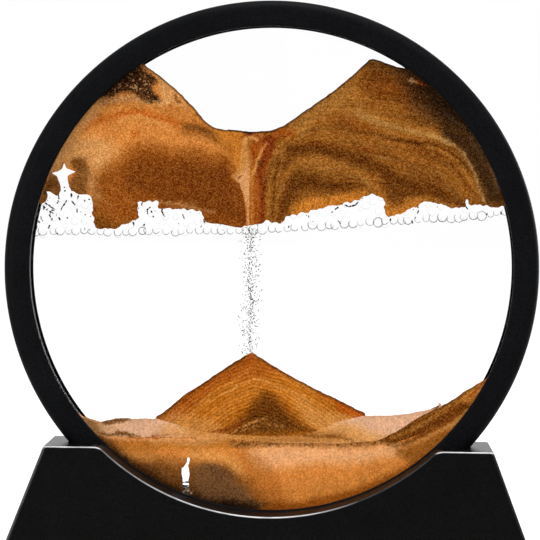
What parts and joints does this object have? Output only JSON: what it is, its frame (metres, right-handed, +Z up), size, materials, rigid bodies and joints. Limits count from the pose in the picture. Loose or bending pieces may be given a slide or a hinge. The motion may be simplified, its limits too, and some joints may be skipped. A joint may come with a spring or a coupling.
{
  "type": "liquid motion timer",
  "caption": "Round sealed sand picture that turns in a slotted trapezoid stand: coloured sand falls through a bubble raft in clear liquid between glass panes.",
  "frame": {"origin": "on the table, under the middle of the stand", "axes": "+Z up, +X to the right as seen from the front, -Y towards the viewer of the front"},
  "size_m": [0.178, 0.06, 0.1847],
  "materials": {
    "frame_plastic": "satin",
    "stand_plastic": "satin",
    "pane_glass": "polished",
    "clear_liquid": "polished",
    "air": "polished",
    "seal_rubber": "matte",
    "orange_sand": "matte",
    "brown_sand": "matte",
    "peach_sand": "matte",
    "dark_grains": "matte",
    "screw_steel": "satin"
  },
  "bodies": {
    "stand": {"stand_shell": "stand_plastic", "stand_base_plate": "stand_plastic", "plate_screws": "screw_steel", "rubber_feet": "seal_rubber"},
    "picture": {"front_bezel": "frame_plastic", "rear_bezel": "frame_plastic", "front_glass": "pane_glass", "rear_glass": "pane_glass", "spacer_seal": "seal_rubber", "filling_plug": "seal_rubber", "liquid": "clear_liquid", "air_bubbles": "air", "left_bank_sand": "orange_sand", "neck_sand": "peach_sand", "right_bank_sand": "brown_sand", "falling_sand": "dark_grains", "cone_sand": "orange_sand", "valley_sand": "peach_sand", "drift_sand": "brown_sand", "bed_sand": "orange_sand"}
  },
  "joints": [
    {"name": "picture_turn", "type": "hinge", "parent": "stand", "child": "picture", "pos_m": [0, 0, 0.0957], "axis": [0, -1, 0], "continuous": true}
  ]
}
